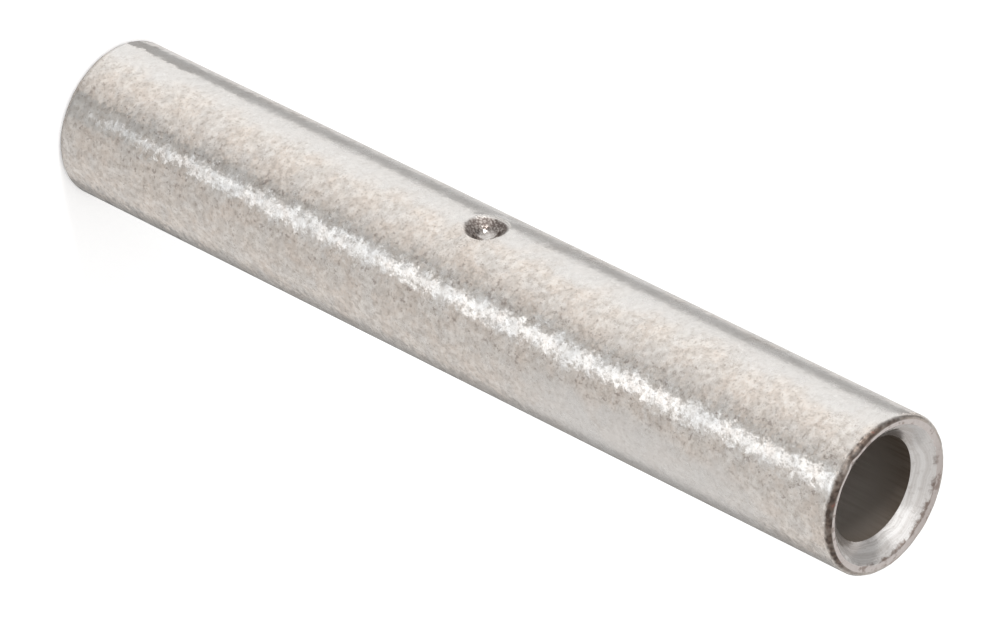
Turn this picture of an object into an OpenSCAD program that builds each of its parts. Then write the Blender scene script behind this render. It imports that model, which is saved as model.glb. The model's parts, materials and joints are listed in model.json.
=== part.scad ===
// Bare butt splice: a seamless tin-plated copper sleeve that joins two stranded wires end to end.
// The sleeve stands on its lower end. +Z is its axis, the origin is the centre of the lower end,
// and the dimple that makes the wire stop faces -Y.

/* [Sleeve] */
// Length from end to end
sleeve_length = 41.3; // [32:0.1:60]
// Outside diameter of the tube
sleeve_od = 6.6; // [6.2:0.1:9]
// Diameter of the bore that takes the stripped wire
bore_d = 4.3; // [3.6:0.1:4.7]
// Radius that tumbling leaves on the outer edge of each end
edge_r = 0.2; // [0.1:0.01:0.3]

/* [Wire mouths] */
// Width of the flat ring between the rounded edge and the funnel
land_w = 0.24; // [0.1:0.01:0.3]
// Depth of the funnel that leads the strands into the bore
funnel_depth = 0.72; // [0.4:0.02:1.2]

/* [Wire stop] */
// Diameter of the dimple where it breaks the outside of the tube
dimple_d = 1.85; // [1.5:0.05:2.2]
// Included angle of the punch that struck it
punch_angle = 90; // [70:1:100]
// Radius of the punch's rounded nose
punch_nose_r = 0.6; // [0.2:0.05:0.7]
// Height of the stop that the punch raises inside the bore
stop_h = 0.6; // [0.3:0.05:0.9]
// Diameter of the stop at the wall of the bore
stop_d = 2.1; // [1.9:0.1:2.6]
// Length of bore that the blow draws in
struck_length = 4; // [3.2:0.1:6]
// How far the blow draws the bore in, all round
struck_draw = 0.08; // [0.05:0.01:0.12]

/* [Hidden] */
$fn = 128;
sleeve_r = sleeve_od / 2;
bore_r = bore_d / 2;
mouth_r = sleeve_r - edge_r - land_w;
stop_z = sleeve_length / 2;
// How far each cutter runs on past the face that it cuts
overrun = 1;
// Slope of each funnel, as radius lost for each unit of depth
funnel_slope = (mouth_r - bore_r) / funnel_depth;
// Circle whose crown draws the bore in by struck_draw over struck_length
struck_arc_r = (pow(struck_length / 2, 2) + pow(struck_draw, 2)) / (2 * struck_draw);
// Sphere that stands stop_h proud of the bore on a round base of stop_d
stop_r = (pow(stop_d / 2, 2) + pow(stop_h, 2)) / (2 * stop_h);
// Heights along the punch, from the sharp tip that its cone would have
punch_half = punch_angle / 2;
nose_centre = punch_nose_r / sin(punch_half);
nose_blend = nose_centre - punch_nose_r * sin(punch_half);
dimple_rim = dimple_d / 2 / tan(punch_half);

// Half section of the tube before it is bored, with its outer edges rounded
module blank_section() {
    square([sleeve_r - edge_r, sleeve_length]);
    translate([0, edge_r]) square([sleeve_r, sleeve_length - 2 * edge_r]);
    for (z = [edge_r, sleeve_length - edge_r])
        translate([sleeve_r - edge_r, z]) circle(edge_r);
}

// Half section of the bore, drawn in around the wire stop
module bore_section() {
    difference() {
        translate([0, -overrun]) square([bore_r, sleeve_length + 2 * overrun]);
        translate([bore_r - struck_draw + struck_arc_r, stop_z]) circle(struck_arc_r);
    }
}

// Funnel of the lower mouth, widening on past the end of the sleeve
module funnel() {
    translate([0, 0, -overrun])
        cylinder(r1 = mouth_r + overrun * funnel_slope, r2 = bore_r, h = funnel_depth + overrun);
}

// Half section of the punch: a cone that blends into its rounded nose
module punch_section() {
    top = dimple_rim + overrun;
    blend_r = nose_blend * tan(punch_half);
    polygon([[0, nose_blend], [blend_r, nose_blend], [top * tan(punch_half), top], [0, top]]);
    intersection() {
        translate([0, nose_centre]) circle(punch_nose_r);
        square([blend_r, nose_blend]);
    }
}

// The punch where it struck, square to the axis, with its cone dimple_d wide at the tube's skin
module punch() {
    translate([0, dimple_rim - sleeve_r, stop_z])
        rotate([90, 0, 0]) rotate_extrude() punch_section();
}

// Dome that the punch raises on the wall of the bore, kept within the wall of the tube
module stop_dome() {
    intersection() {
        translate([0, stop_h - bore_r - stop_r, stop_z]) sphere(stop_r);
        cylinder(r = (bore_r + sleeve_r) / 2, h = sleeve_length);
    }
}

module splice_sleeve() {
    color("#cfc9c2")
    difference() {
        union() {
            difference() {
                rotate_extrude() blank_section();
                rotate_extrude() bore_section();
            }
            stop_dome();
        }
        funnel();
        translate([0, 0, sleeve_length]) mirror([0, 0, 1]) funnel();
        punch();
    }
}

splice_sleeve();
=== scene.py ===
# %% [markdown]
# # A bare butt splice
# The object is a short tube of tin-plated copper, a little over 41 mm long, that joins two wires end to end.
# The frame holds its exact solid, standing on its lower end, and this lesson dresses it: the same sleeve
# again as a fine mesh, with the small faults that drawing, cutting, striking and plating leave on the metal.

# %% Load the frame
import json
import math

import bmesh
import bpy
from mathutils import Matrix, Vector, noise


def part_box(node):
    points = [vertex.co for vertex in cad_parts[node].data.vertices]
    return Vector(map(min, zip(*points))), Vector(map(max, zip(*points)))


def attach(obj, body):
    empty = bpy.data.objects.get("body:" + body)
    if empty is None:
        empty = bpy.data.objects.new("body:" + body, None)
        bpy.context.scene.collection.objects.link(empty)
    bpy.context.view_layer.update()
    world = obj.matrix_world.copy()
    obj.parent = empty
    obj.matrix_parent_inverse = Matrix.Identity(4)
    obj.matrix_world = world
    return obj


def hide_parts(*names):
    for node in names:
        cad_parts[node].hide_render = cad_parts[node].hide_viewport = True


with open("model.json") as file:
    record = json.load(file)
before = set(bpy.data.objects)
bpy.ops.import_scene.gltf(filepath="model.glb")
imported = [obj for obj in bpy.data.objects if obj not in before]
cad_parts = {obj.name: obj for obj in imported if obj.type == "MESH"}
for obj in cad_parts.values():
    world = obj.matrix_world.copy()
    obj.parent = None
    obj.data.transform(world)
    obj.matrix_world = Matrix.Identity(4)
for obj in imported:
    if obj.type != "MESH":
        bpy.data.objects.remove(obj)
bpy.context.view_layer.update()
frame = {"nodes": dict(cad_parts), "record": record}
print("solids in the frame:", sorted(frame["nodes"]))

# %% [markdown]
# ## Sizes
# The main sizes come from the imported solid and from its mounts, so the mesh cannot drift away from the part.
# The upper bore gives the wire mouth, which is the same at both ends, and the plain outside gives the
# rounding. The sizes of the dimple and the stop follow later, where the punch strikes.

# %% Read the sizes of the sleeve
MM = 0.001
low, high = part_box("splice_sleeve")
SLEEVE_LENGTH = high[2] - low[2]
SLEEVE_R = (high[0] - low[0]) / 2
mounts = {mount["name"]: mount for mount in frame["record"]["mounts"]}
BORE_R = mounts["upper_wire_bore"]["dims"]["r_mm"] * MM
BORE_WALL = mounts["upper_wire_bore"]["dims"]["length_mm"] * MM
FUNNEL_DEPTH = SLEEVE_LENGTH - mounts["upper_wire_bore"]["pos_m"][2]
EDGE_R = (SLEEVE_LENGTH - mounts["barrel_outside"]["dims"]["length_mm"] * MM) / 2
LAND_MIDDLE = mounts["lower_end"]["pos_m"][0]
MOUTH_R = 2 * LAND_MIDDLE - (SLEEVE_R - EDGE_R)
MIDDLE = SLEEVE_LENGTH / 2
print(f"sleeve {SLEEVE_LENGTH / MM:.1f} x {2 * SLEEVE_R / MM:.1f} mm, bore {2 * BORE_R / MM:.1f} mm")

# %% [markdown]
# ## Camera
# The picture was taken through a long lens. It looks a little into the near mouth, about 36 degrees off
# square to the tube, and the tube runs across the picture. The sleeve stands here, so the camera rolls over
# instead.

# %% Place the camera
CAMERA_AZIMUTH = math.radians(47.93)
CAMERA_ELEVATION = math.radians(36.24)
CAMERA_ROLL = math.radians(116.27)
CAMERA_DISTANCE = 358.98 * MM
AIM_RIGHT = 0.403 * MM
AIM_UP = -0.337 * MM
SENSOR_WIDTH = 36
FOCAL_LENGTH = 333.2
NEAREST_SEEN = 10 * MM
FURTHEST_SEEN = 10

towards = Vector((math.sin(CAMERA_AZIMUTH) * math.cos(CAMERA_ELEVATION),
                  -math.cos(CAMERA_AZIMUTH) * math.cos(CAMERA_ELEVATION),
                  math.sin(CAMERA_ELEVATION)))
level_right = Vector((math.cos(CAMERA_AZIMUTH), math.sin(CAMERA_AZIMUTH), 0))
level_up = towards.cross(level_right)
right = level_right * math.cos(CAMERA_ROLL) + level_up * math.sin(CAMERA_ROLL)
up = towards.cross(right)
camera_data = bpy.data.cameras.new("camera")
camera_data.sensor_width = SENSOR_WIDTH
camera_data.lens = FOCAL_LENGTH
camera_data.clip_start = NEAREST_SEEN
camera_data.clip_end = FURTHEST_SEEN
camera = bpy.data.objects.new("camera", camera_data)
bpy.context.scene.collection.objects.link(camera)
camera.location = Vector((0, 0, MIDDLE)) + towards * CAMERA_DISTANCE + right * AIM_RIGHT + up * AIM_UP
camera.rotation_mode = "QUATERNION"
camera.rotation_quaternion = Matrix((right, up, towards)).transposed().to_quaternion()
bpy.context.scene.camera = camera
print("camera stands", [round(v / MM) for v in camera.location], "mm from the foot of the sleeve")

# %% [markdown]
# ## Node helpers
# Materials are small networks of nodes. These helpers add a node and hand back the socket to plug in next,
# so that a finish reads like a recipe. Every pattern is measured in millimetres on the piece itself.

# %% Helpers that add nodes
MIX_FACTOR, MIX_FIRST, MIX_SECOND = 0, 6, 7
MIX_RESULT = 2


def add_node(tree, kind, inputs=(), **settings):
    """Adds a node, sets its properties, and fills its inputs by name or number with values or sockets."""
    made = tree.nodes.new(kind)
    for name, value in settings.items():
        setattr(made, name, value)
    for key, value in dict(inputs).items():
        if isinstance(value, bpy.types.NodeSocket):
            tree.links.new(value, made.inputs[key])
        else:
            made.inputs[key].default_value = value
    return made


def calc(tree, operation, first, second=0.0, third=0.0):
    """One step of arithmetic."""
    inputs = {0: first, 1: second, 2: third}
    return add_node(tree, "ShaderNodeMath", inputs, operation=operation).outputs[0]


def millimetres(tree, squeeze=(1, 1, 1)):
    """Object coordinates in millimetres. A squeeze above 1 shortens a pattern along that axis."""
    place = add_node(tree, "ShaderNodeTexCoord").outputs["Object"]
    inputs = {"Vector": place, "Scale": Vector(squeeze) / MM}
    return add_node(tree, "ShaderNodeMapping", inputs).outputs[0]


def grain(tree, where, per_mm, detail=2.0, roughness=0.5):
    """Noise with about per_mm features in each millimetre."""
    inputs = {"Vector": where, "Scale": per_mm, "Detail": detail, "Roughness": roughness}
    return add_node(tree, "ShaderNodeTexNoise", inputs).outputs["Fac"]


def between(tree, value, start, end, low_value=0.0, high_value=1.0):
    """A smooth step: low_value before start, high_value after end."""
    inputs = {0: value, 1: start, 2: end, 3: low_value, 4: high_value}
    return add_node(tree, "ShaderNodeMapRange", inputs, interpolation_type="SMOOTHSTEP").outputs[0]


def blend_colour(tree, factor, first, second):
    """Two colours mixed by a factor."""
    inputs = {MIX_FACTOR: factor}
    for key, colour in ((MIX_FIRST, first), (MIX_SECOND, second)):
        inputs[key] = colour if isinstance(colour, bpy.types.NodeSocket) else (*colour, 1)
    return add_node(tree, "ShaderNodeMix", inputs, data_type="RGBA").outputs[MIX_RESULT]


def raised(tree, height, depth, below=None):
    """A bump of the given depth in metres, on top of another bump where there is one."""
    inputs = {"Height": height, "Distance": depth, "Strength": 1.0}
    if below is not None:
        inputs["Normal"] = below
    return add_node(tree, "ShaderNodeBump", inputs).outputs[0]


def new_finish(name):
    """An empty material with its shader, ready for a recipe."""
    finish = bpy.data.materials.new(name)
    finish.use_nodes = True
    tree = finish.node_tree
    return finish, tree, tree.nodes["Principled BSDF"]


print("node helpers are ready")

# %% [markdown]
# ## Floor and world
# A plain pale floor fills the view. It glows a little for the camera and for anything that mirrors it, so it
# reads as white paper and still keeps the shadow of the sleeve. The world is one even soft light.

# %% Make the floor and the world
FLOOR_HALF = 1.5
FLOOR_COLOUR = (0.88, 0.88, 0.88)
FLOOR_GLOW = 0.35
WHITE = (1, 1, 1)
bpy.ops.object.select_all(action="DESELECT")
bpy.ops.mesh.primitive_plane_add(size=2 * FLOOR_HALF)
floor = bpy.context.object
floor.name = "floor"
floor_paint, tree, shader = new_finish("floor_paint")
rays = add_node(tree, "ShaderNodeLightPath")
seen = calc(tree, "MAXIMUM", rays.outputs["Is Camera Ray"], rays.outputs["Is Glossy Ray"])
seen = calc(tree, "MAXIMUM", seen, rays.outputs["Is Transmission Ray"])
shader.inputs["Base Color"].default_value = (*FLOOR_COLOUR, 1)
shader.inputs["Roughness"].default_value = 1.0
shader.inputs["Specular IOR Level"].default_value = 0.0
shader.inputs["Emission Color"].default_value = (*WHITE, 1)
tree.links.new(calc(tree, "MULTIPLY", seen, FLOOR_GLOW), shader.inputs["Emission Strength"])
floor.data.materials.append(floor_paint)

WORLD_LEVEL = 0.78
world = bpy.data.worlds.new("studio")
world.use_nodes = True
bpy.context.scene.world = world
background = world.node_tree.nodes["Background"]
background.inputs["Color"].default_value = (*WHITE, 1)
background.inputs["Strength"].default_value = WORLD_LEVEL
bpy.context.scene.view_settings.view_transform = "Standard"
print("floor", 2 * FLOOR_HALF, "m wide, world at", WORLD_LEVEL)

# %% [markdown]
# ## Lights
# One panel puts the bright patch into the funnel of the mouth, a small one puts the glint into the dimple,
# and a broad faint one fills in from above. All three are soft, as in a small product studio.

# %% Hang the lights
SKY_TINT = (0.93, 0.97, 1.0)


def bearing_from_camera(turn):
    """The level direction that is turned from the camera's side by some degrees."""
    bearing = CAMERA_AZIMUTH + math.radians(turn)
    return Vector((math.sin(bearing), -math.cos(bearing), 0))


def soft_panel(name, turn, height, distance, size, power, aim=MIDDLE, colour=WHITE):
    """An area light, turned round the sleeve from the camera's side, facing a height on its axis."""
    lamp = bpy.data.lights.new(name, "AREA")
    lamp.shape = "RECTANGLE"
    lamp.size, lamp.size_y = size
    lamp.energy = power
    lamp.color = colour
    panel = bpy.data.objects.new(name, lamp)
    bpy.context.scene.collection.objects.link(panel)
    panel.location = bearing_from_camera(turn) * distance + Vector((0, 0, height))
    beam = Vector((0, 0, aim)) - panel.location
    panel.rotation_euler = beam.to_track_quat("-Z", "Y").to_euler()
    panel.visible_camera = False


soft_panel("mouth_light", turn=-42, height=153 * MM, distance=100 * MM, size=(140 * MM, 70 * MM),
           power=0.018, aim=SLEEVE_LENGTH, colour=SKY_TINT)
soft_panel("dimple_light", turn=-44, height=MIDDLE + 58 * MM, distance=145 * MM, size=(32 * MM, 32 * MM),
           power=0.095)
soft_panel("overhead", turn=10, height=260 * MM, distance=150 * MM, size=(160 * MM, 160 * MM), power=0.008)

# %% [markdown]
# ## Cards round the sleeve
# A pale tube on a white floor loses its edges and its shine. Photographers lay cards beside it, out of the
# picture, and the metal mirrors them. Here they lie on the floor round the foot, and only reflections show
# them. Paper fades from white to grey in front of the sleeve, and darker cards behind each flank draw the
# two edges. A bright strip draws the one line down the barrel: it starts as a dull point close to the foot
# and grows wider and brighter further out, so the line fades towards the lower end. Two more cards hang
# beside the upper mouth and shade its funnel.

# %% Lay the cards
CARD_NEAR, CARD_FAR = 0.02, 200
CARD_LIFT = 0.05 * MM
STRIP_LIFT = 0.4 * MM
HUNG_AWAY = 90 * MM


def make_card(name, corners, level, tint=WHITE):
    """A card with four corners, as bright as its level, that only reflections show."""
    bpy.ops.object.select_all(action="DESELECT")
    bpy.ops.mesh.primitive_plane_add(size=1)
    card = bpy.context.object
    card.name = name
    for vertex, corner in zip(card.data.vertices, corners):
        vertex.co = corner
    paint, tree, shader = new_finish(name)
    shader.inputs["Base Color"].default_value = (0, 0, 0, 1)
    shader.inputs["Roughness"].default_value = 1.0
    shader.inputs["Specular IOR Level"].default_value = 0.0
    shader.inputs["Emission Color"].default_value = (*tint, 1)
    shader.inputs["Emission Strength"].default_value = level
    card.data.materials.append(paint)
    card.visible_camera = False
    card.visible_diffuse = False
    card.visible_shadow = False
    card.visible_transmission = False


def lay_card(turn, spread, level, near=CARD_NEAR, far=CARD_FAR, lift=CARD_LIFT, tip=1.0, tint=WHITE):
    """A wedge on the floor that the wall mirrors at one bearing, from near to far in millimetres.

    The tip is the width of its near end as a share of its far end, so 0 gives a sharp point."""
    corners = []
    for side in (-spread, spread):
        for reach, width in ((near * MM, side * tip), (far * MM, side)):
            foot = bearing_from_camera((turn + width) / 2) * SLEEVE_R
            corners.append(foot + bearing_from_camera(turn + width) * reach + Vector((0, 0, lift)))
    kind = "card" if tip else "strip"
    make_card(f"{kind}_at_{turn % 360}", corners, level, tint)


def hang_card(start, end, bottom, top, level):
    """An upright card beside the mouth, between two bearings and two slopes above the mouth."""
    corners = []
    for rise in (bottom, top):
        for turn in (start, end):
            height = SLEEVE_LENGTH + HUNG_AWAY * rise
            corners.append(bearing_from_camera(turn) * HUNG_AWAY + Vector((0, 0, height)))
    make_card(f"hung_at_{start % 360}", corners, level)


print("card helpers are ready")

# %% Set out the cards
COOL = (0.95, 0.98, 1.0)
PAPER = (0.985, 0.995, 1.0)
STRIP_TINT = (0.88, 0.94, 1.0)
PAPER_SPREAD = 6
PAPER_ENDS = -40
GREY_TURN = -2
STRIP_TURN = 17
# The paper and the table: turn from the camera's side in degrees, and level.
FADE = ((-110, 1.00), (-98, 1.02), (-86, 1.05), (-74, 1.05), (-62, 1.02),
        (-50, 0.97), (-38, 0.90), (-26, 0.82), (-14, 0.70))
TABLE = ((36, 0.63), (48, 0.67), (60, 0.70), (72, 0.71), (84, 0.73),
         (96, 0.75), (108, 0.77), (120, 0.75), (132, 0.63))
for turn, level in FADE + TABLE:
    lay_card(turn, PAPER_SPREAD, level, tint=PAPER if turn < PAPER_ENDS else WHITE)
# The grey beside the strip: near and far in millimetres, and level.
for near, far, level in ((CARD_NEAR, 9, 0.53), (9, 24, 0.46), (24, CARD_FAR, 0.55)):
    lay_card(GREY_TURN, PAPER_SPREAD, level, near, far, tint=COOL)
# The cards behind the flanks: turn, spread and level.
for turn, spread, level in ((-132, 14, 0.46), (-162, 16, 0.82), (149, 12, 0.40), (169, 8, 0.24)):
    lay_card(turn, spread, level)
# The grey under the strip, and the strip: near and far in millimetres, spread at each of them, and level.
lay_card(STRIP_TURN, spread=13, level=0.58, tint=COOL)
STRIP = ((1.0, 6, 0.0, 5.5, 0.95), (6, 12, 5.5, 8.0, 1.25),
         (12, 24, 8.0, 9.0, 1.46), (24, CARD_FAR, 9.0, 10.0, 1.60))
for near, far, narrow, wide, level in STRIP:
    lay_card(STRIP_TURN, wide, level, near, far, lift=STRIP_LIFT, tip=narrow / wide, tint=STRIP_TINT)
hang_card(start=-88, end=-150, bottom=0.02, top=0.55, level=0.36)
hang_card(start=118, end=165, bottom=0.02, top=0.32, level=0.62)

# %% [markdown]
# ## The section
# The real sleeve is cut from drawn tube and countersunk at both ends. Its half section is a list of points,
# each a radius and a height: over the rounded edge, across the flat land, down the funnel, through the bore
# and out at the other end. The blow that made the stop also drew the bore in a little at mid-length, and a
# worn countersink cuts a funnel that is not quite straight.

# %% Draw the half section
EDGE_STEPS = 7
LAND_STEPS = 4
FUNNEL_STEPS = 12
BORE_STEPS = 16
STRUCK_STEPS = 36
STRUCK_DRAW = 0.08 * MM
FUNNEL_CROWN = 0.03 * MM


def steps(start, end, count):
    """Points from start to end along a straight stretch of the section, without the first."""
    start, end = Vector(start), Vector(end)
    return [tuple(start.lerp(end, (i + 1) / count)) for i in range(count)]


def rounded_edge(turns):
    """The rounded outer edge, from the barrel up to the land."""
    corner = SLEEVE_R - EDGE_R
    return [(corner + EDGE_R * math.cos(a), SLEEVE_LENGTH - EDGE_R + EDGE_R * math.sin(a))
            for a in (math.pi / 2 * i / turns for i in range(1, turns + 1))]


def crowned(start, end, count, crown):
    """Points from start to end along a shallow arch."""
    run = Vector(end) - Vector(start)
    side = Vector((-run.y, run.x)).normalized() * crown
    return [tuple(Vector(point) - side * math.sin(math.pi * (i + 1) / count))
            for i, point in enumerate(steps(start, end, count))]


upper = rounded_edge(EDGE_STEPS)
upper += steps(upper[-1], (MOUTH_R, SLEEVE_LENGTH), LAND_STEPS)
upper += crowned(upper[-1], (BORE_R, SLEEVE_LENGTH - FUNNEL_DEPTH), FUNNEL_STEPS, FUNNEL_CROWN)
bore_end = SLEEVE_LENGTH - FUNNEL_DEPTH - BORE_WALL
upper += steps(upper[-1], (BORE_R, bore_end), BORE_STEPS)
struck = []
for i in range(1, STRUCK_STEPS):
    height = bore_end + (SLEEVE_LENGTH - 2 * bore_end) * i / STRUCK_STEPS
    struck.append((BORE_R - STRUCK_DRAW * math.sin(math.pi * i / STRUCK_STEPS) ** 2, height))
lower = [(radius, SLEEVE_LENGTH - height) for radius, height in reversed(upper)]
section = upper + struck + lower + [(SLEEVE_R, EDGE_R)]
print(len(section), "rings from the upper rim through the bore to the lower rim")

# %% [markdown]
# ## The tube
# A cylinder with open ends is the drawn tube, and its upper rim is pulled round the section until it meets
# the lower rim. A spin of the section would make the same form. Pulling a rim is how it is done by hand, and
# it keeps clean rings of four-sided faces, which later take fine dents without a crease.

# %% Pull the tube round its section
SEGMENTS = 240
MERGE_WITHIN = 0.002 * MM


def select_parts(piece, kind, wanted):
    """In edit mode, selects those edges or faces of the piece for which wanted(part) is true."""
    bpy.ops.mesh.select_mode(type=kind)
    shape = bmesh.from_edit_mesh(piece.data)
    for part in (*shape.faces, *shape.edges, *shape.verts):
        part.select = False
    for part in shape.edges if kind == "EDGE" else shape.faces:
        if wanted(part):
            part.select_set(True)
    bmesh.update_edit_mesh(piece.data)


def pull_rim(old, new):
    """Extrudes the selected rim from one (radius, height) of the section to the next."""
    bpy.ops.mesh.extrude_edges_move()
    scale = new[0] / old[0]
    bpy.ops.transform.resize(value=(scale, scale, 1), center_override=(0, 0, old[1]))
    bpy.ops.transform.translate(value=(0, 0, new[1] - old[1]))


bpy.ops.object.select_all(action="DESELECT")
bpy.ops.mesh.primitive_cylinder_add(vertices=SEGMENTS, radius=SLEEVE_R, depth=SLEEVE_LENGTH - 2 * EDGE_R,
                                    end_fill_type="NOTHING", location=(0, 0, MIDDLE))
sleeve = bpy.context.object
sleeve.name = "tinned_sleeve"
bpy.ops.object.transform_apply(location=True, rotation=True, scale=True)
bpy.ops.object.mode_set(mode="EDIT")
select_parts(sleeve, "EDGE", lambda edge: all(v.co.z > MIDDLE for v in edge.verts))
corner = (SLEEVE_R, SLEEVE_LENGTH - EDGE_R)
for point in section:
    pull_rim(corner, point)
    corner = point
bpy.ops.mesh.select_all(action="SELECT")
bpy.ops.mesh.remove_doubles(threshold=MERGE_WITHIN)
bpy.ops.mesh.normals_make_consistent(inside=False)
bpy.ops.object.mode_set(mode="OBJECT")
print(len(sleeve.data.polygons), "faces round the section")

# %% [markdown]
# ## Rings along the barrel
# The long outside wall is still one face from end to end. It is cut into rings a quarter of a millimetre
# apart, and the patch round the dimple is cut finer again, because the rim of a struck hole is sharp.

# %% Cut the barrel into rings
RING_PITCH = 0.26 * MM
PATCH_HALF = 1.6 * MM
PATCH_CUTS = 3
CLOSE = 0.01 * MM
LONG_EDGE = 1 * MM


def on_barrel(point):
    """True on the straight outside wall."""
    return math.hypot(point.x, point.y) > SLEEVE_R - CLOSE


def runs_along_barrel(edge):
    """True for an edge that runs up the outside wall."""
    first, second = (v.co for v in edge.verts)
    return on_barrel(first) and on_barrel(second) and abs(first.z - second.z) > LONG_EDGE


def outside_near_dimple(face):
    """True for a face of the outside wall close to where the punch will strike."""
    middle = face.calc_center_median()
    in_patch = abs(middle.x) < PATCH_HALF and abs(middle.z - MIDDLE) < PATCH_HALF
    return middle.y < 0 and in_patch and on_barrel(face.verts[0].co)


bpy.ops.object.mode_set(mode="EDIT")
select_parts(sleeve, "EDGE", runs_along_barrel)
bpy.ops.mesh.subdivide(number_cuts=round((SLEEVE_LENGTH - 2 * EDGE_R) / RING_PITCH) - 1)
select_parts(sleeve, "FACE", outside_near_dimple)
bpy.ops.mesh.subdivide(number_cuts=PATCH_CUTS)
bpy.ops.object.mode_set(mode="OBJECT")
print(len(sleeve.data.polygons), "faces with the rings and the patch")

# %% [markdown]
# ## The dimple and the stop
# A cone-shaped punch with a rounded nose struck the finished tube once, at mid-length. It left a pit with a
# crisp rim outside and raised a low dome inside, which stops the wires. A cutter and a boolean would leave a
# machined edge, so the wall is pushed in here point by point, as the punch did it. Each point goes as deep
# as the punch reached, and a thin collar of metal rises round the rim, no higher than the crest of the tube.
# The punch sat a little off centre and its mark is slightly oval. Two marks on the points remember where
# the metal was struck and where the nose pressed, for the finish.

# %% Shape the punch
DIMPLE_R = 0.86 * MM
DIMPLE_ROUND = 0.90
PUNCH_OFF = Vector((-0.05 * MM, 0, -0.09 * MM))
PUNCH_SLOPE = 1.0
NOSE_R = 0.60 * MM
STOP_H = 0.6 * MM
STOP_BASE_R = 1.05 * MM
STOP_R = (STOP_BASE_R ** 2 + STOP_H ** 2) / (2 * STOP_H)


def punch_depth(reach):
    """How deep the punch goes below the crest of the tube, at a distance from the punch's own axis."""
    half = math.atan(PUNCH_SLOPE)
    tip = DIMPLE_R / PUNCH_SLOPE
    blend = NOSE_R * math.cos(half)
    if reach > blend:
        return tip - reach / PUNCH_SLOPE
    return tip - NOSE_R / math.sin(half) + math.sqrt(NOSE_R ** 2 - reach ** 2)


print("dimple", round(punch_depth(0) / MM, 2), "mm deep, stop", round(STOP_H / MM, 2), "mm high")

# %% Strike the dimple
STRIKE_REACH = 2.2 * MM
RIM_SOFTNESS = 0.03 * MM
COLLAR_HEIGHT = 0.04 * MM
COLLAR_WIDTH = 0.2 * MM
UNEVEN_SHARE = 0.02
UNEVEN_SIZE = 0.45 * MM
STRUCK_FADE = 0.06 * MM
STRUCK_AT_RIM = 0.3
NOSE_MARK_R = 0.55 * MM
NOSE_MARK_FADE = 0.32 * MM


def soft_larger(first, second, softness):
    """The larger of two lengths, with the crease between them rounded."""
    gap = max(softness - abs(first - second), 0) / softness
    return max(first, second) + gap * gap * softness / 4


def clamped(value):
    """The value, kept between 0 and 1."""
    return min(max(value, 0), 1)


struck_mark = sleeve.data.attributes.new("struck", "FLOAT", "POINT")
nose_mark = sleeve.data.attributes.new("nose", "FLOAT", "POINT")
struck_points = 0
for i, vertex in enumerate(sleeve.data.vertices):
    place = vertex.co
    from_punch = place - PUNCH_OFF
    reach = math.hypot(from_punch.x * DIMPLE_ROUND, from_punch.z - MIDDLE)
    if place.y > 0 or reach > STRIKE_REACH:
        continue
    if math.hypot(place.x, place.y) > (SLEEVE_R + BORE_R) / 2:
        uneven = 1 + UNEVEN_SHARE * noise.noise(place / UNEVEN_SIZE)
        collar = 0
        if reach > DIMPLE_R:
            collar = COLLAR_HEIGHT * math.exp(-((reach - DIMPLE_R) / COLLAR_WIDTH) ** 2)
        skin = SLEEVE_R + place.y - collar
        pit = punch_depth(reach * uneven)
        struck_mark.data[i].value = clamped((pit - skin) / STRUCK_FADE + STRUCK_AT_RIM)
        nose_mark.data[i].value = clamped((NOSE_MARK_R - reach) / NOSE_MARK_FADE)
        place.y = max(soft_larger(skin, pit, RIM_SOFTNESS), 0) - SLEEVE_R
        struck_points += pit > skin
    elif reach < STOP_R:
        crown = BORE_R - STOP_H + STOP_R
        dome = crown - math.sqrt(STOP_R ** 2 - reach ** 2)
        place.y = -min(-place.y, dome)
print("the punch moved", struck_points, "points of the outside")

# %% [markdown]
# ## A mouth off centre
# The countersink of the upper end ran a little off the axis, so its land is narrow on one side and wide on
# the other. The rings of the mouth slide sideways together, and the slide fades out down the bore.

# %% Slide the upper mouth
MOUTH_SLIDE = 0.13 * MM
BORE_SLIDE = 0.06 * MM
SLIDE_FADE = 12 * MM
FLUSH = 0.001 * MM
slide_way = bearing_from_camera(0)
land_outer = SLEEVE_R - EDGE_R
for vertex in sleeve.data.vertices:
    radius = math.hypot(vertex.co.x, vertex.co.y)
    depth = SLEEVE_LENGTH - vertex.co.z
    if depth < FLUSH and radius < land_outer:
        slide = MOUTH_SLIDE * (land_outer - radius) / (land_outer - MOUTH_R)
    elif radius < MOUTH_R and depth < FUNNEL_DEPTH:
        slide = MOUTH_SLIDE + (BORE_SLIDE - MOUTH_SLIDE) * depth / FUNNEL_DEPTH
    elif radius < BORE_R + CLOSE and depth < SLIDE_FADE:
        slide = BORE_SLIDE * (SLIDE_FADE - depth) / (SLIDE_FADE - FUNNEL_DEPTH)
    else:
        continue
    vertex.co += slide_way * slide
print("upper mouth slid by", MOUTH_SLIDE / MM, "mm")

# %% [markdown]
# ## Marks of making
# Drawn tube is never quite true: its skin has a slow swell that makes a reflected line wander. Cutting and
# tumbling leave the two ends a little uneven. Both are clouds of noise pushed into the surface, and never
# out of it, so the sleeve stays within its true size. One knock on the near rim left a small nick, and the
# points round it sink.

# %% Press the uneven skin into the mesh
SWELL_DEPTH = 0.008 * MM
SWELL_SIZE = 1.4 * MM
DENT_DEPTH = 0.03 * MM
DENT_SIZE = 0.45 * MM
END_MARGIN = 0.05 * MM
CREASE_ANGLE = math.radians(28)


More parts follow.
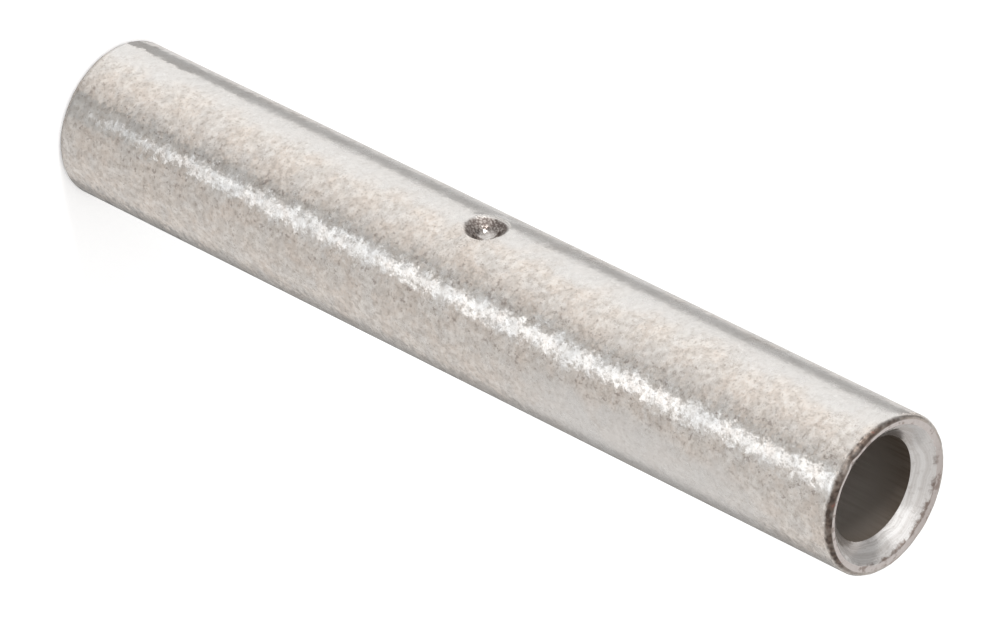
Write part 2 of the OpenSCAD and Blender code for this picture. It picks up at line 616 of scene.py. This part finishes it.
def press_clouds(piece, name, vertices, depth, size):
    """Presses a cloud texture into some of a piece's vertices, inwards only."""
    group = piece.vertex_groups.new(name=name)
    group.add(vertices, 1.0, "REPLACE")
    cloud = bpy.data.textures.new(name, "CLOUDS")
    cloud.noise_scale = size
    press = piece.modifiers.new(name, "DISPLACE")
    press.texture = cloud
    press.texture_coords = "LOCAL"
    press.vertex_group = name
    press.strength = depth
    press.mid_level = 1.0
    bpy.context.view_layer.objects.active = piece
    bpy.ops.object.modifier_apply(modifier=name)


def off_axis(point):
    """Distance of a point from the axis of the sleeve."""
    return math.hypot(point.x, point.y)


def near_an_end(point):
    """True on the rounded edges and the lands."""
    return min(point.z, SLEEVE_LENGTH - point.z) < EDGE_R and off_axis(point) > MOUTH_R - END_MARGIN


outside = [v.index for v in sleeve.data.vertices if off_axis(v.co) > MOUTH_R]
ends = [v.index for v in sleeve.data.vertices if near_an_end(v.co)]
press_clouds(sleeve, "swell", outside, SWELL_DEPTH, SWELL_SIZE)
press_clouds(sleeve, "dents", ends, DENT_DEPTH, DENT_SIZE)
bpy.ops.object.select_all(action="DESELECT")
sleeve.select_set(True)
bpy.ops.object.shade_smooth_by_angle(angle=CREASE_ANGLE)
print("pressed", len(outside), "points of skin and", len(ends), "points of the ends")

# %% Knock a nick into the rim
NICK_TURN = -10
NICK_REACH = 0.22 * MM
NICK_SINK = 0.10 * MM
nick = bearing_from_camera(NICK_TURN) * land_outer + Vector((0, 0, SLEEVE_LENGTH))
sunk = 0
for vertex in sleeve.data.vertices:
    away = (vertex.co - nick).length
    if away < 3 * NICK_REACH:
        vertex.co.z -= NICK_SINK * math.exp(-(away / NICK_REACH) ** 2)
        sunk += 1
print("the nick sank", sunk, "points")

# %% [markdown]
# ## Places on the sleeve
# Wear and stains have their places: at the ends, on one side, round the mouth. These helpers measure such
# places from the object's own coordinates, so every mark stays on the metal from whatever side it is seen.

# %% Helpers that find a place on the sleeve
LENGTH_MM = SLEEVE_LENGTH / MM


def height_up(tree):
    """Height above the foot, in millimetres."""
    return add_node(tree, "ShaderNodeSeparateXYZ", {0: millimetres(tree)}).outputs[2]


def height_from_end(tree):
    """Distance along the axis from the nearer end, in millimetres."""
    height = height_up(tree)
    return calc(tree, "MINIMUM", height, calc(tree, "SUBTRACT", LENGTH_MM, height))


def distance_from(tree, centre):
    """Distance from an upright line through the centre, in millimetres."""
    inputs = {0: millimetres(tree), 1: (centre.x / MM, centre.y / MM, 0)}
    place = add_node(tree, "ShaderNodeVectorMath", inputs, operation="SUBTRACT").outputs[0]
    parts = add_node(tree, "ShaderNodeSeparateXYZ", {0: place})
    flat = calc(tree, "MULTIPLY", parts.outputs[0], parts.outputs[0])
    square = calc(tree, "MULTIPLY_ADD", parts.outputs[1], parts.outputs[1], flat)
    return calc(tree, "SQRT", square)


def facing(tree, turn):
    """One on the line of the tube's skin at some bearing, minus one on the opposite side."""
    inputs = {0: millimetres(tree), 1: bearing_from_camera(turn) / (SLEEVE_R / MM)}
    return add_node(tree, "ShaderNodeVectorMath", inputs, operation="DOT_PRODUCT").outputs["Value"]


print("place helpers are ready")

# %% [markdown]
# ## Tin plating
# Plain tin comes out of the bath satin, with a fine grain. Its colour is a warm pale grey with cloudy
# patches, dark and pale specks, and small pits where the plating missed; along both flanks of the bright
# line more dark specks are painted, as painted reflection. Handling has rubbed it smooth and greyer in a
# stripe down one side and in a patch on another. One recipe makes the smooth places and another the colour,
# which takes the specks out again where the metal is smooth.

# %% Mix the colour of the plating
RUBBED_SIDE = -59
HANDLED_SIDE = 56
HANDLED_HEIGHT = 31.5
# The bright line down the barrel falls at this bearing; the dark specks along its flanks are painted
# reflection.
BRIGHT_LINE_SIDE = 9
WARM_TIN, GREY_TIN, PINK_TIN = (0.815, 0.722, 0.645), (0.765, 0.722, 0.68), (0.83, 0.765, 0.70)
SMOOTH_TIN = (0.80, 0.775, 0.75)


def rubbed_places(tree, where):
    """One where handling has rubbed the grain smooth, with a ragged border."""
    stripe = calc(tree, "MULTIPLY_ADD", grain(tree, where, 0.5), 0.16, facing(tree, RUBBED_SIDE))
    stripe = between(tree, stripe, 0.975, 1.07)
    patch = calc(tree, "MULTIPLY_ADD", grain(tree, where, 0.6), 0.20, facing(tree, HANDLED_SIDE))
    patch = between(tree, patch, 0.95, 1.07)
    off_middle = calc(tree, "ABSOLUTE", calc(tree, "SUBTRACT", height_up(tree), HANDLED_HEIGHT))
    patch = calc(tree, "MULTIPLY", patch, between(tree, off_middle, 3.0, 9.0, 0.85, 0.0))
    return calc(tree, "MAXIMUM", stripe, patch)


def pits_with_painted_flanks(tree, where):
    """Noise whose peaks are pits, raised along both flanks of the bright line, where its dark specks are
    painted reflection.
    """
    # Painted reflection: more dark specks along both flanks of the bright line down the barrel.
    side = facing(tree, BRIGHT_LINE_SIDE)
    line_flanks = calc(tree, "MULTIPLY", between(tree, side, 0.84, 0.96, 0.0, 0.08),
                   between(tree, side, 0.986, 0.995, 1.0, 0.0))
    return calc(tree, "ADD", grain(tree, where, 4.2, 3.0, 0.7), line_flanks)


def plated_colour(tree, where, speck, cloud, rubbed, coarse):
    """Cloudy tin with its specks, where coarse is one on full grain and less on rubbed metal."""
    tin = blend_colour(tree, between(tree, cloud, 0.38, 0.62), WARM_TIN, GREY_TIN)
    tin = blend_colour(tree, between(tree, grain(tree, where, 1.6), 0.38, 0.66, 0.0, 0.6), tin, PINK_TIN)
    tin = blend_colour(tree, calc(tree, "MULTIPLY", rubbed, 0.85), tin, SMOOTH_TIN)
    pepper = grain(tree, where, 9.0, 1.0)
    mottle = grain(tree, where, 3.0)
    # Each layer: its pattern, where it shows, the limits of its step, the amount at each, and its colour.
    layers = ((speck, coarse, (0.50, 0.68, 0.0, 0.6), (0.50, 0.445, 0.395)),
              (speck, coarse, (0.32, 0.48, 0.6, 0.0), (0.92, 0.87, 0.82)),
              (pepper, coarse, (0.62, 0.70, 0.0, 0.42), (0.38, 0.32, 0.28)),
              (pepper, 1.0, (0.27, 0.36, 0.45, 0.0), (0.95, 0.92, 0.89)),
              (pits_with_painted_flanks(tree, where), coarse, (0.65, 0.73, 0.0, 0.7), (0.32, 0.265, 0.235)),
              (mottle, coarse, (0.38, 0.60, 0.29, 0.0), (0.55, 0.49, 0.44)),
              (mottle, coarse, (0.50, 0.68, 0.0, 0.29), (0.97, 0.91, 0.85)))
    for pattern, shows, step, colour in layers:
        amount = calc(tree, "MULTIPLY", between(tree, pattern, *step), shows)
        tin = blend_colour(tree, amount, tin, colour)
    return tin


print("plating: rubbed at", RUBBED_SIDE, "and", HANDLED_SIDE, "degrees from the camera's side")

# %% [markdown]
# ## Stained ends and the struck pit
# At the cut ends the plating is thin and stained, and the copper shows dark brown there in a ragged band,
# strongest on one side of the upper end. The very foot is dark brown all round, and a few spots near the edges
# are bare and red. The wall of the dimple is painted dark with pale flecks, as painted shade in its hollow,
# and where its nose pressed the metal is paler.

# %% Mix the stains and the pit
STAINED_SIDE = 10
DARK_BROWN, LIGHT_BROWN = (0.052, 0.035, 0.027), (0.155, 0.113, 0.090)
BARE_COPPER = (0.30, 0.13, 0.105)
# Painted shade: the dark wall colours of the dimple stand for the shade in its hollow.
WALL_SHADE_DARK, WALL_SHADE_FLECK = (0.165, 0.135, 0.122), (0.45, 0.41, 0.38)
DULL_NOSE, BRIGHT_NOSE = (0.56, 0.52, 0.49), (0.74, 0.70, 0.67)


def stained_band(tree, where, speck, from_end):
    """The ragged brown band along both ends, wider and darker on the stained side and the upper end."""
    side = facing(tree, STAINED_SIDE)
    ragged = calc(tree, "MULTIPLY_ADD", grain(tree, where, 2.6, 5.0, 0.7), 0.25, from_end)
    ragged = calc(tree, "MULTIPLY_ADD", speck, 0.15, ragged)
    ragged = calc(tree, "SUBTRACT", ragged, between(tree, side, 0.2, 0.97, 0.0, 0.16))
    band = between(tree, ragged, 0.20, 0.38, 0.96, 0.0)
    thin_spots = between(tree, grain(tree, where, 1.1, 3.0, 0.6), 0.35, 0.55, 0.7, 1.0)
    band = calc(tree, "MULTIPLY", band, thin_spots)
    band = calc(tree, "MULTIPLY", band, between(tree, side, -0.3, 0.6, 0.5, 1.0))
    band = calc(tree, "MULTIPLY", band, between(tree, height_up(tree), 0.0, LENGTH_MM, 0.35, 1.0))
    rim = calc(tree, "MULTIPLY_ADD", speck, 0.12, from_end)
    rim = between(tree, rim, 0.10, 0.22, 0.72, 0.0)
    rim = calc(tree, "MULTIPLY", rim, between(tree, side, 0.05, 0.45, 0.1, 1.0))
    return calc(tree, "MAXIMUM", band, rim)


def bare_spots(tree, where, from_end):
    """Spots of bare copper close to the ends."""
    spots = between(tree, grain(tree, where, 3.4, 2.0, 0.6), 0.66, 0.74, 0.0, 0.6)
    return calc(tree, "MULTIPLY", spots, between(tree, from_end, 0.05, 0.22, 1.0, 0.0))


def pit_shade_and_nose(tree, where, nose):
    """The wall of the dimple, painted dark and flecked as painted shade in its hollow, and the paler spot
    under the nose of the punch.
    """
    flecks = between(tree, grain(tree, where, 9.0, 3.0, 0.7), 0.46, 0.60)
    # Painted shade in the hollow of the dimple, with pale flecks.
    wall = blend_colour(tree, flecks, WALL_SHADE_DARK, WALL_SHADE_FLECK)
    polished = blend_colour(tree, flecks, DULL_NOSE, BRIGHT_NOSE)
    return blend_colour(tree, between(tree, nose, 0.15, 1.0), wall, polished)


print("stains: strongest", STAINED_SIDE, "degrees from the camera's side")

# %% [markdown]
# ## The finish of the barrel
# Tin glitters because each of its flakes leans a little another way. The flakes are the cells of a Voronoi
# pattern, each with its own small lean, and squeezed along the tube, because the real ones are longest
# across it. Fine pores and shallow hollows are bumps on top. The flakes lean further towards the foot, and
# rubbed metal has less of everything.

# %% Lean the flakes of tin
FLAKES_PER_MM = 3.3
FLAKE_SQUEEZE = (1, 1, 1.7)
FLAKE_BEND = (0.2, 0.2, 0.2)
BENDS_PER_MM = 6.0
CELL_MEAN = (0.5, 0.5, 0.5)
HOLLOW_SQUEEZE = (1, 1, 1.4)
PORE_DEPTH = 0.005 * MM
HOLLOW_DEPTH = 0.027 * MM


def leaning_flakes(tree, lean):
    """A normal that leans a little another way on each small flake."""
    across = millimetres(tree, FLAKE_SQUEEZE)
    inputs = {"Vector": across, "Scale": BENDS_PER_MM, "Detail": 1.0}
    wobble = add_node(tree, "ShaderNodeTexNoise", inputs).outputs["Color"]
    inputs = {0: wobble, 1: FLAKE_BEND, 2: across}
    bent = add_node(tree, "ShaderNodeVectorMath", inputs, operation="MULTIPLY_ADD").outputs[0]
    inputs = {"Vector": bent, "Scale": FLAKES_PER_MM, "Randomness": 1.0}
    cells = add_node(tree, "ShaderNodeTexVoronoi", inputs).outputs["Color"]
    inputs = {0: cells, 1: CELL_MEAN}
    offset = add_node(tree, "ShaderNodeVectorMath", inputs, operation="SUBTRACT").outputs[0]
    inputs = {0: offset, "Scale": lean}
    lean_by = add_node(tree, "ShaderNodeVectorMath", inputs, operation="SCALE").outputs[0]
    straight = add_node(tree, "ShaderNodeNewGeometry").outputs["Normal"]
    total = add_node(tree, "ShaderNodeVectorMath", {0: straight, 1: lean_by}, operation="ADD").outputs[0]
    return add_node(tree, "ShaderNodeVectorMath", {0: total}, operation="NORMALIZE").outputs[0]


def grain_of_tin(tree, where, rubbed, coarse):
    """The normal of the plating: leaning flakes, with pores and hollows on them."""
    lean = between(tree, height_up(tree), 2.0, 10.0, 0.14, 0.098)
    flakes = leaning_flakes(tree, calc(tree, "MULTIPLY_ADD", rubbed, -0.075, lean))
    pores = calc(tree, "MULTIPLY", grain(tree, where, 8.0, 1.5), coarse)
    hollows = calc(tree, "MULTIPLY", grain(tree, millimetres(tree, HOLLOW_SQUEEZE), 2.4), coarse)
    return raised(tree, hollows, HOLLOW_DEPTH, raised(tree, pores, PORE_DEPTH, flakes))


print("flakes:", FLAKES_PER_MM, "to a millimetre round the tube")

# %% Mix the tin of the barrel
def tin_of_barrel():
    """Satin tin with grain, cloudy patches, brown ends and painted shade in the struck dimple."""
    finish, tree, shader = new_finish("tin_of_barrel")
    where = millimetres(tree)
    speck = grain(tree, where, 5.0, 3.0, 0.6)
    cloud = grain(tree, where, 0.9, 3.0, 0.6)
    rubbed = rubbed_places(tree, where)
    coarse = calc(tree, "MULTIPLY_ADD", rubbed, -0.75, 1.0)
    struck = add_node(tree, "ShaderNodeAttribute", attribute_name="struck").outputs["Fac"]
    nose = add_node(tree, "ShaderNodeAttribute", attribute_name="nose").outputs["Fac"]
    from_end = height_from_end(tree)
    # The very foot is dark brown all round and hardly metallic there.
    dark_foot = calc(tree, "MULTIPLY_ADD", speck, 0.16, height_up(tree))
    dark_foot = between(tree, dark_foot, 0.12, 0.36, 0.85, 0.0)
    brown_ends = calc(tree, "MAXIMUM", stained_band(tree, where, speck, from_end), dark_foot)
    brown_ends = calc(tree, "MULTIPLY", brown_ends, between(tree, from_end, 0.0, 0.03, 0.35, 1.0))
    brown = blend_colour(tree, between(tree, speck, 0.35, 0.65), DARK_BROWN, LIGHT_BROWN)
    colour = blend_colour(tree, brown_ends, plated_colour(tree, where, speck, cloud, rubbed, coarse), brown)
    colour = blend_colour(tree, bare_spots(tree, where, from_end), colour, BARE_COPPER)
    # Painted shade: the struck pit takes the dark wall of the dimple.
    colour = blend_colour(tree, struck, colour, pit_shade_and_nose(tree, where, nose))
    tree.links.new(colour, shader.inputs["Base Color"])
    rough = between(tree, cloud, 0.3, 0.7, 0.20, 0.29)
    rough = calc(tree, "ADD", rough, between(tree, height_up(tree), 2.0, 12.0, -0.07, 0.0))
    rough = calc(tree, "MULTIPLY_ADD", brown_ends, 0.25, rough)
    dull = calc(tree, "MULTIPLY", struck, between(tree, nose, 0.0, 0.22, 1.0, -0.2))
    tree.links.new(calc(tree, "MULTIPLY_ADD", dull, 0.32, rough), shader.inputs["Roughness"])
    tree.links.new(grain_of_tin(tree, where, rubbed, coarse), shader.inputs["Normal"])
    tree.links.new(calc(tree, "MULTIPLY_ADD", dark_foot, -0.95, 1.0), shader.inputs["Metallic"])
    return finish


sleeve.data.materials.clear()
sleeve.data.materials.append(tin_of_barrel())
print("barrel finish:", len(sleeve.data.materials[0].node_tree.nodes), "nodes")

# %% [markdown]
# ## The mouths
# The countersink left fine rings in the funnel before plating. The flat land outside it is pale and a little
# pink, with brown specks along the sharp edge. Inside, the bore is dull and dark, browner near the mouth, with
# the long scratches of the drawing die, and painted lighter deeper in and towards one side as painted light.

# %% Mix the finish of the funnels
SPECKED_SIDE = 170
SPECK_BROWN = (0.20, 0.145, 0.12)
FUNNEL_DARK, FUNNEL_PALE, FUNNEL_SPOT = (0.60, 0.565, 0.54), (0.80, 0.775, 0.755), (0.50, 0.46, 0.43)
TURNING_DEPTH = 0.005 * MM
FUNNEL_GRAIN_DEPTH = 0.008 * MM
mouth_centre = slide_way * MOUTH_SLIDE


def edge_specks(tree, where):
    """A ragged brown line, in stretches, along the sharp edge between land and funnel."""
    off_edge = calc(tree, "SUBTRACT", distance_from(tree, mouth_centre), MOUTH_R / MM)
    off_edge = calc(tree, "ABSOLUTE", off_edge)
    wander = calc(tree, "MULTIPLY_ADD", grain(tree, where, 6.0, 3.0, 0.65), 0.38, off_edge)
    line = between(tree, wander, 0.18, 0.33, 0.9, 0.0)
    cluster = between(tree, grain(tree, where, 2.2), 0.40, 0.56)
    side = between(tree, facing(tree, SPECKED_SIDE), 0.2, 0.6)
    return calc(tree, "MULTIPLY", calc(tree, "MULTIPLY", cluster, side), line)


def turned_tin():
    """Tin over turning marks, for the funnels, with brown specks along the mouth."""
    finish, tree, shader = new_finish("turned_tin")
    where = millimetres(tree)
    drift = calc(tree, "MULTIPLY_ADD", grain(tree, where, 0.6), 0.4, distance_from(tree, mouth_centre))
    rings = add_node(tree, "ShaderNodeCombineXYZ", {0: drift}).outputs[0]
    marks = grain(tree, rings, 7.0, 3.0, 0.65)
    fine = grain(tree, where, 5.0, 3.0, 0.6)
    tin = blend_colour(tree, between(tree, marks, 0.3, 0.7), FUNNEL_DARK, FUNNEL_PALE)
    tin = blend_colour(tree, between(tree, fine, 0.52, 0.7, 0.0, 0.4), tin, FUNNEL_SPOT)
    colour = blend_colour(tree, edge_specks(tree, where), tin, SPECK_BROWN)
    tree.links.new(colour, shader.inputs["Base Color"])
    tree.links.new(between(tree, marks, 0.3, 0.7, 0.14, 0.24), shader.inputs["Roughness"])
    cuts = raised(tree, marks, TURNING_DEPTH)
    tree.links.new(raised(tree, fine, FUNNEL_GRAIN_DEPTH, cuts), shader.inputs["Normal"])
    shader.inputs["Metallic"].default_value = 0.85
    return finish


sleeve.data.materials.append(turned_tin())
print("funnel finish:", sleeve.data.materials[-1].name)

# %% Mix the finish of the lands
BROWNED_SIDE = 200
LAND_DARK, LAND_PALE = (0.58, 0.515, 0.485), (0.78, 0.72, 0.69)
LAND_BROWNED, LAND_STAIN = (0.33, 0.27, 0.24), (0.30, 0.23, 0.20)
LAND_GRAIN_DEPTH = 0.010 * MM


def land_tin():
    """Pale pinkish tin of the flat ring, with stained specks."""
    finish, tree, shader = new_finish("land_tin")
    where = millimetres(tree)
    fine = grain(tree, where, 7.0, 3.0, 0.6)
    stain = between(tree, grain(tree, where, 2.6, 3.0, 0.65), 0.52, 0.66, 0.0, 0.8)
    browned = between(tree, facing(tree, BROWNED_SIDE), 0.5, 0.85, 0.0, 0.28)
    tin = blend_colour(tree, fine, LAND_DARK, LAND_PALE)
    tin = blend_colour(tree, browned, tin, LAND_BROWNED)
    colour = blend_colour(tree, stain, tin, LAND_STAIN)
    colour = blend_colour(tree, edge_specks(tree, where), colour, SPECK_BROWN)
    tree.links.new(colour, shader.inputs["Base Color"])
    tree.links.new(raised(tree, fine, LAND_GRAIN_DEPTH), shader.inputs["Normal"])
    shader.inputs["Roughness"].default_value = 0.34
    shader.inputs["Metallic"].default_value = 1.0
    return finish


sleeve.data.materials.append(land_tin())
print("land finish:", sleeve.data.materials[-1].name)

# %% Mix the finish of the bore
# The side of the bore that is painted lighter, as painted light.
LIT_BORE_SIDE = 125
SCRATCH_SQUEEZE = (1, 1, 0.05)
SCRATCH_DEPTH = 0.006 * MM
BORE_AT_MOUTH, BORE_DEEP_LIT, BORE_SCRATCH = (0.12, 0.09, 0.065), (0.56, 0.515, 0.475), (0.30, 0.26, 0.225)


def drawn_bore():
    """Dull metal inside the bore, scratched along its length, browner near the mouth, and painted lighter
    deeper in and towards one side as painted light.
    """
    finish, tree, shader = new_finish("drawn_bore")
    lines = grain(tree, millimetres(tree, SCRATCH_SQUEEZE), 5.0, 3.0, 0.65)
    # Painted light: the colour grows lighter deeper in the bore and towards one side, for light coming through
    # it; browner at the mouth.
    lit_depth = calc(tree, "MULTIPLY_ADD", facing(tree, LIT_BORE_SIDE), 1.1, height_from_end(tree))
    metal = blend_colour(tree, between(tree, lit_depth, 0.6, 4.4), BORE_AT_MOUTH, BORE_DEEP_LIT)
    metal = blend_colour(tree, between(tree, lines, 0.35, 0.7, 0.0, 0.35), metal, BORE_SCRATCH)
    tree.links.new(metal, shader.inputs["Base Color"])
    tree.links.new(raised(tree, lines, SCRATCH_DEPTH), shader.inputs["Normal"])
    shader.inputs["Roughness"].default_value = 0.55
    shader.inputs["Metallic"].default_value = 0.4
    return finish


sleeve.data.materials.append(drawn_bore())
print("bore finish:", sleeve.data.materials[-1].name)

# %% [markdown]
# ## Faces and finishes
# One mesh wears four finishes. Each face takes its own from where it lies on the section: how far from the
# axis, how far from the nearer end, and how steep.

# %% Give each face its finish
BARREL, FUNNEL, LAND, BORE = range(4)
BORE_STARTS = 0.98 * FUNNEL_DEPTH
STEEP, FLAT = 0.3, 0.97


def finish_of(face):
    """Which finish a face takes, from where it lies on the section."""
    radius = off_axis(face.center)
    from_end = min(face.center.z, SLEEVE_LENGTH - face.center.z)
    if radius < (BORE_R + MOUTH_R) / 2 and from_end > BORE_STARTS:
        return BORE
    if radius < MOUTH_R + MOUTH_SLIDE and from_end < FUNNEL_DEPTH and STEEP < abs(face.normal.z) < FLAT:
        return FUNNEL
    if radius < land_outer and from_end < EDGE_R:
        return LAND
    return BARREL


for face in sleeve.data.polygons:
    face.material_index = finish_of(face)
for number, finish in enumerate(sleeve.data.materials):
    print(finish.name, sum(face.material_index == number for face in sleeve.data.polygons), "faces")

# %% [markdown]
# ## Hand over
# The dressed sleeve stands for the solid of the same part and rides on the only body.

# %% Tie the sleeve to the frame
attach(sleeve, "root")
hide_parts("splice_sleeve")
